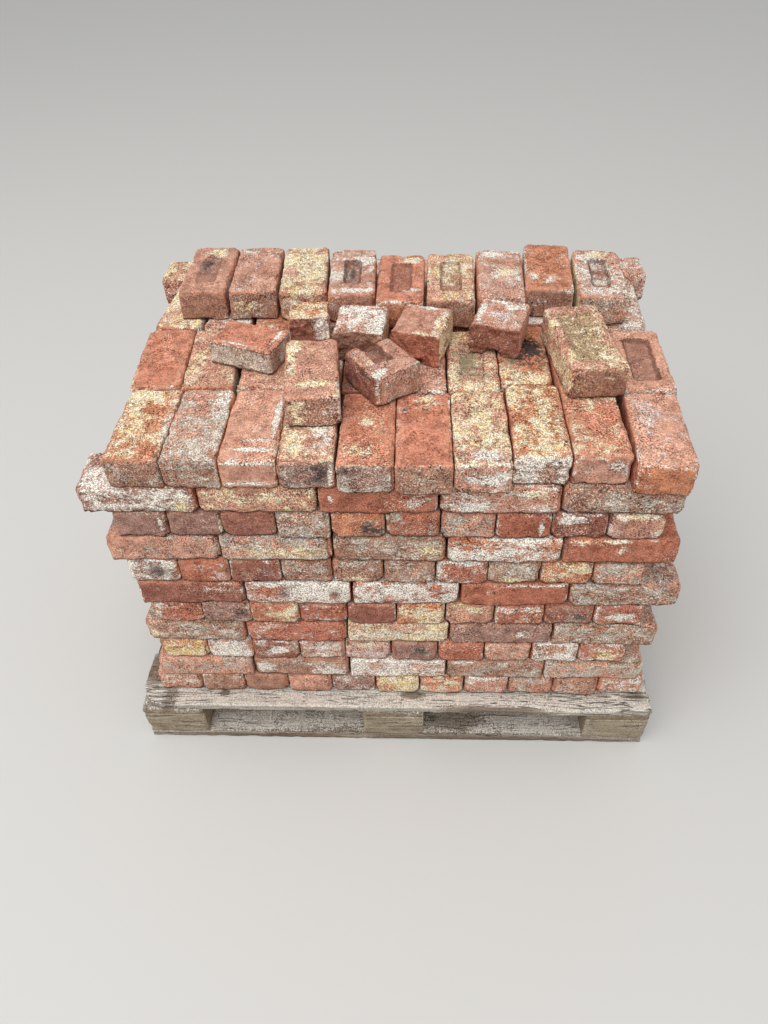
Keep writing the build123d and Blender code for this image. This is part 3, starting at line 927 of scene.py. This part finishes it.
timberLook = {
    "streakScale": (6.0, 120.0, 120.0),
    "grainScale": 260.0,
    "dirtScale": 16.0,
    "dark": (100, 88, 76),
    "middle": (152, 139, 123),
    "light": (190, 179, 163),
    "edge": ((190, 179, 163), 0.3),
    "end": ((150, 130, 104), 0.6),
    "dirt": ((112, 92, 74), 0.7),
    "dust": ((226, 217, 205), 0.85),
    # mud, and painted shade where the marks put it
    "mudAndShade": ((118, 98, 80), 0.8),
    "crack": ((58, 48, 40), 0.85),
    "pit": ((58, 48, 40), 0.5),
    "splashed": (50 * mm, -10 * mm),    # dirt starts below the first height and is full at the second
    "sandRange": (0.78, 1.18),
    "roughness": 0.88,
    "specular": 0.2,
    "reliefDepth": 1.4 * mm,
    "reliefStrength": 0.9,
    "crackRelief": 1.6,
    "dustRelief": 0.3,
}
blockLook = {**timberLook, "dark": (122, 107, 88), "middle": (168, 152, 130), "light": (198, 184, 162),
             "edge": ((198, 184, 162), 0.3)}


def grainGroup():
    inputs = {"Vector": ("Vector", None), "Seed": ("Float", 0.0), "Scale": ("Vector", (5.0, 80.0, 80.0)),
              "Split": ("Float", 0.0)}
    tree, given, result = newGroup("woodGrain", inputs, ("Streaks", "Cracks"))
    wander = fbm(given["Vector"], given["Seed"], 6.0, 2.0, output=1)
    drawn = given["Vector"] * given["Scale"] + wander * 3.0
    plug(result["Streaks"], fbm(drawn, given["Seed"], 1.0, 6.0, 0.65))
    split = fbm(drawn * (0.45, 1.2, 1.2), given["Seed"] + 4.0, 1.0, 2.0)
    plug(result["Cracks"], rise(abs(split - 0.5), given["Split"] * 0.04 + 0.012, 0.0))
    return tree


woodGrain = grainGroup()


def timberMaterial(name, look, turned=False):
    material, shader = newMaterial(name, look)
    tree = material.node_tree
    coords = take(tree, "ShaderNodeTexCoord", output="Object")
    angle = math.radians(90) if turned else 0.0
    laid = take(tree, "ShaderNodeMapping", {"Vector": coords, "Rotation": (0.0, 0.0, angle)})
    chance = readLayer(tree, "chance") * chanceSteps
    grain = useGroup(woodGrain, {"Vector": laid, "Seed": chance, "Scale": look["streakScale"],
                                 "Split": readLayer(tree, "split")})
    spots = useGroup(speckle, {"Vector": coords, "Seed": chance, "Scale": look["grainScale"]})
    worn = useGroup(edgeWear, {"Vector": coords, "Seed": chance, "Edge": readLayer(tree, "arris")})["Worn"]
    sand, streaks = spots["Sand"] - 0.5, grain["Streaks"]

    body = blend(rise(streaks, 0.32, 0.5), opaque(look["dark"]), opaque(look["middle"]))
    body = blend(rise(streaks, 0.5, 0.7), body, opaque(look["light"]))
    body = stain(body, worn, look["edge"])
    facing = apart(take(tree, "ShaderNodeNewGeometry", output="Normal"))
    body = stain(body, rise(abs(facing[1 if turned else 0]), 0.7, 0.9), look["end"])
    dirty = fbm(coords, chance, look["dirtScale"], 5.0, 0.68)
    splash = rise(apart(coords)[2], *look["splashed"]) * rise(dirty, 0.35, 0.6)
    body = stain(body, splash, look["dirt"])
    dusty = sand * 0.12 + dirty + readLayer(tree, "dust") * 0.5
    settled = rise(dusty, 0.62, 0.8) * rise(facing[2], -0.3, 0.6, 0.4, 1.0)
    body = stain(body, settled, look["dust"])
    # mud, and painted shade under the deck boards, from the layer of marks
    muddyAndShaded = (dirty - 0.5) * 2.6 + readLayer(tree, "mudAndShade") + sand * 0.5
    body = stain(body, rise(muddyAndShaded, 0.5, 0.85), look["mudAndShade"])
    body = stain(body, grain["Cracks"], look["crack"])
    body = stain(body, spots["Pits"], look["pit"])
    relief = streaks - grain["Cracks"] * look["crackRelief"] + settled * look["dustRelief"]
    finishSurface(shader, look, body, spots["Sand"], relief)
    return material


boardAlong = timberMaterial("weatheredBoard", timberLook)
boardAcross = timberMaterial("weatheredStringer", timberLook, turned=True)
blockWood = timberMaterial("palletBlock", blockLook)

timberBlocks = {"Even Spacing": 0.75, "Arris": 2.5 * mm, "Worn Width": 6 * mm, "Waver": 2.5 * mm,
                "Waver Scale": 6.0, "Grit": 0.8 * mm, "Chip Depth": 4 * mm, "Chip Scale": 26.0, "Seed": 11.0}
cellSizes = {"fine": (7 * mm, 5 * mm, 4.5 * mm), "plain": (16 * mm, 10 * mm, 8 * mm)}

frontBoard = {  # metres along the board: where its lower edge rises and hangs, and where its arris is waney
    "risesAt": 0.250, "rise": 7 * mm, "riseSpan": 0.08,
    "hangsAt": 0.415, "hang": 11 * mm, "hangSpan": 0.055,
    "waneFrom": 0.17, "waneTo": 0.56, "waneDepth": 9 * mm, "edgeDepth": 30 * mm,
    "lostCorner": (-0.6, -0.4), "lostReach": 0.05, "lost": (16 * mm, 12 * mm),
}


def hump(place, centre, span):
    return np.exp(-((place - centre) / span) ** 2)


def shapeFrontBoard(mesh, board):
    place, _ = readMesh(mesh)
    low, high = place.min(0), place.max(0)
    x, y, z = place.T
    up = (z - low[2]) / (high[2] - low[2])
    forward = np.clip(1 - (y - low[1]) / board["edgeDepth"], 0, 1)
    lift = board["rise"] * hump(x, board["risesAt"], board["riseSpan"])
    lift -= board["hang"] * hump(x, board["hangsAt"], board["hangSpan"])
    wane = board["waneDepth"] * np.clip((x - board["waneFrom"]) / 0.08, 0, 1)
    wane *= np.clip((board["waneTo"] - x) / 0.06, 0, 1)
    corner = np.hypot(x - board["lostCorner"][0], y - board["lostCorner"][1])
    lost = np.clip(1 - corner / board["lostReach"], 0, 1)
    place[:, 2] += forward ** 1.5 * (1 - up) * lift
    place[:, 2] -= forward ** 2 * up * wane
    place[:, :2] += lost[:, None] * board["lost"]
    mesh.vertices.foreach_set("co", place.ravel())
    mesh.update()


# Weather and painted shade on the boards: the layer, its middle along and across the pallet, half its length
# and width, all in metres, and how strong it is. The mud layer also paints shade along the back of the skid,
# under the deck boards
timberMarks = {
    "deck_board_1": [("mudAndShade", -0.530, -0.372, 0.020, 0.040, 0.5), ("mudAndShade", -0.575, -0.300, 0.036, 0.045, 0.8),
                     ("mudAndShade", -0.401, -0.366, 0.012, 0.010, 0.8), ("mudAndShade", 0.045, -0.366, 0.030, 0.012, 0.7),
                     ("mudAndShade", 0.240, -0.398, 0.120, 0.006, 0.7), ("mudAndShade", 0.570, -0.360, 0.030, 0.012, 0.6),
                     ("split", -0.570, -0.380, 0.045, 0.030, 1.0),
                     ("split", 0.500, -0.380, 0.110, 0.025, 1.0),
                     ("dust", 0.440, -0.380, 0.050, 0.020, 1.6), ("dust", -0.440, -0.375, 0.060, 0.025, 1.4)],
    # the skid's second mark, along its back under the deck boards, is painted shade
    "skid_front": [("mudAndShade", 0.0, -0.402, 0.6, 0.008, 0.6), ("mudAndShade", 0.1, -0.305, 0.5, 0.03, 0.5),
                   ("mudAndShade", 0.15, -0.36, 0.08, 0.03, 0.45)],
    "block_front_left": [("mudAndShade", -0.57, -0.37, 0.06, 0.10, 0.35)],
}
weatherFade = 1.6       # half widths at which such a mark has faded out


def weather(mesh, node, dust):
    place, _ = readMesh(mesh)
    starts = {"dust": dust, "mudAndShade": 0.0, "split": 0.0}
    layers = {label: np.full(len(place), start) for label, start in starts.items()}
    for layer, along, across, length, width, amount in timberMarks.get(node, ()):
        away = np.hypot((place[:, 0] - along) / length, (place[:, 1] - across) / width)
        layers[layer] = np.maximum(layers[layer], amount * np.clip(weatherFade - away, 0, 1))
    layers["dust"] *= 1 - np.minimum(layers["mudAndShade"], 1)
    return layers


def sawTimber(node, material, cells, dust, draw):
    block = readBlocks(node)[0]
    block["pick"] = draw.random()
    cellCounts = {f"Cells {way}": max(2, round(round(length / cell, 3)))
                  for way, length, cell in zip(("Long", "Across", "High"), block["size"], cellSizes[cells])}
    values = {**timberBlocks, **cellCounts, "Material": material}
    piece = grow(node + "_sawn", pointsMesh(node + "_sawn", [block]), wornBlocks, values)
    if node == "deck_board_1":
        shapeFrontBoard(piece.data, frontBoard)
    count = len(piece.data.vertices)
    writeLayers(piece.data, {}, {"chance": np.full(count, block["pick"]), **weather(piece.data, node, dust)})
    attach(piece, "root")
    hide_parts(node)


timberKinds = {  # by how the node's name starts: the material, its slot and how dusty it is
    "deck_board": (boardAlong, "pallet_boards", 0.2),
    "skid": (boardAlong, "pallet_boards", 0.2),
    "stringer": (boardAcross, "pallet_boards", 0.2),
    "block": (blockWood, "pallet_blocks", 0.1),
}
frontDust = {"deck_board_1": 0.8, "skid_front": 0.62}       # the boards seen from near
for node in sorted(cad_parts):
    for start, (material, slotName, dust) in timberKinds.items():
        if node.startswith(start):
            cells = "fine" if node in frontDust else "plain"
            sawTimber(node, material, cells, frontDust.get(node, dust), draw)
print("pallet sawn")


# Stage, light and camera

floorLook = {"span": 30.0, "colour": (214, 212, 208), "roughness": 0.9, "specular": 0.5}


def makeFloor(look):
    span = look["span"]
    mesh = bpy.data.meshes.new("floor")
    mesh.from_pydata([(-span, -span, 0), (span, -span, 0), (span, span, 0), (-span, span, 0)], [],
                     [(0, 1, 2, 3)])
    material, shader = newMaterial("paleFloor", look)
    plug(shader["Base Color"], opaque(look["colour"]))
    mesh.materials.append(material)
    addObject("floor", mesh)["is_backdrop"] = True


lighting = {
    "skyColour": (0.97, 0.985, 1.0, 1.0),
    "skyStrength": 0.6,
    "lampWatts": 300.0,
    "lampSize": 6.0,
    "lampPlace": (-1.6, -2.6, 6.0),
    "lampAim": (0, 0, 0.5),
}


def makeLight(light):
    world = bpy.data.worlds.new("softSky")
    bpy.context.scene.world = world
    world.use_nodes = True
    background = world.node_tree.nodes["Background"]
    background.inputs["Color"].default_value = light["skyColour"]
    background.inputs["Strength"].default_value = light["skyStrength"]
    lamp = bpy.data.lights.new("softBox", "AREA")
    lamp.energy = light["lampWatts"]
    lamp.size = light["lampSize"]
    holder = addObject("softBox", lamp)
    holder.location = light["lampPlace"]
    aim = Vector(light["lampAim"]) - Vector(light["lampPlace"])
    holder.rotation_euler = aim.to_track_quat("-Z", "Y").to_euler()


cameraPlace = {
    "place": (0.046, -1.355, 1.700),
    "lookDown": 43.94,      # degrees below the horizon
    "lookAside": 3.08,      # towards the left
    "roll": -1.91,
    "lens": 26.59,
}


def makeCamera(view):
    data = bpy.data.cameras.new("camera")
    data.lens = view["lens"]
    camera = addObject("camera", data)
    heading = Matrix.Rotation(math.radians(view["lookAside"]), 4, "Z")
    tilt = Matrix.Rotation(math.radians(90 - view["lookDown"]), 4, "X")
    roll = Matrix.Rotation(math.radians(view["roll"]), 4, "Z")
    camera.matrix_world = Matrix.Translation(view["place"]) @ heading @ tilt @ roll
    bpy.context.scene.camera = camera


makeFloor(floorLook)
makeLight(lighting)
makeCamera(cameraPlace)
bpy.context.scene.view_settings.view_transform = "Standard"

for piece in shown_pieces():
    print(piece.name, sum(len(face.vertices) - 2 for face in piece.data.polygons), "triangles")
